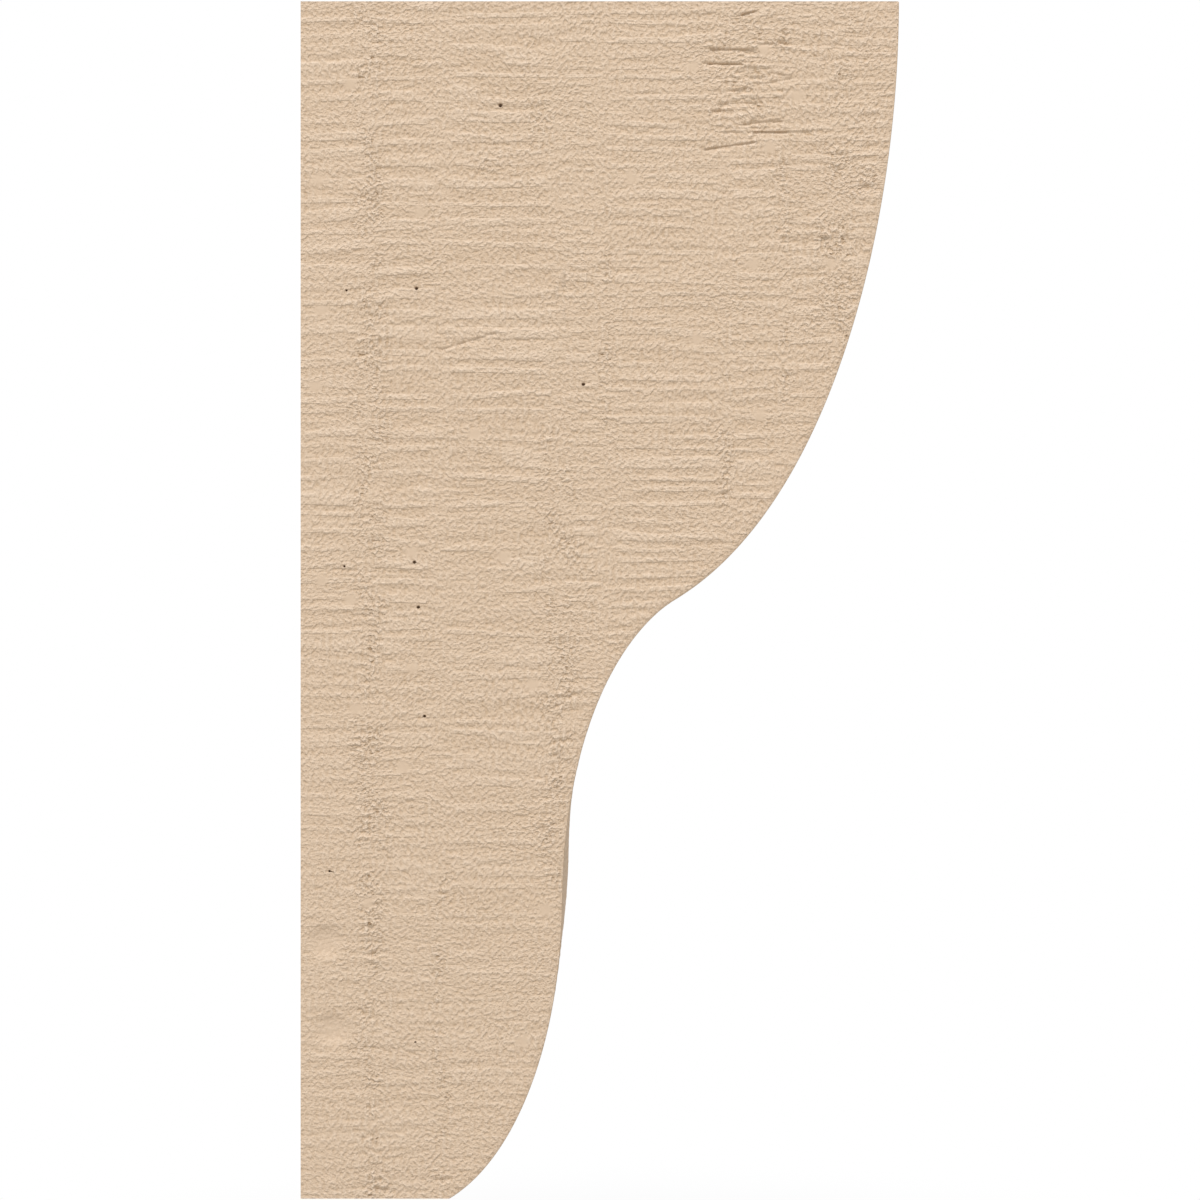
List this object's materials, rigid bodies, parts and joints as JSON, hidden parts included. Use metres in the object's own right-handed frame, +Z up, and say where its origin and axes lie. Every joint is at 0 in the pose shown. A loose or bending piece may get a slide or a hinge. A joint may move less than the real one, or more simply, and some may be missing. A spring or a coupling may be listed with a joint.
{
  "type": "polyurethane corbel",
  "caption": "Tall faux-wood corbel with a flat back and top, an S-curved front edge and rough-sawn faces, cast in rigid foam.",
  "frame": {"origin": "centre of the flat back, where the corbel lies against the wall: mid-width and mid-height", "axes": "+X out from the wall, +Y across the width, +Z up"},
  "size_m": [0.3048, 0.1524, 0.6096],
  "materials": {
    "tan_primer": "matte factory primer over a rough-sawn moulded skin"
  },
  "bodies": {
    "root": {"corbel_body": "tan_primer"}
  },
  "joints": []
}
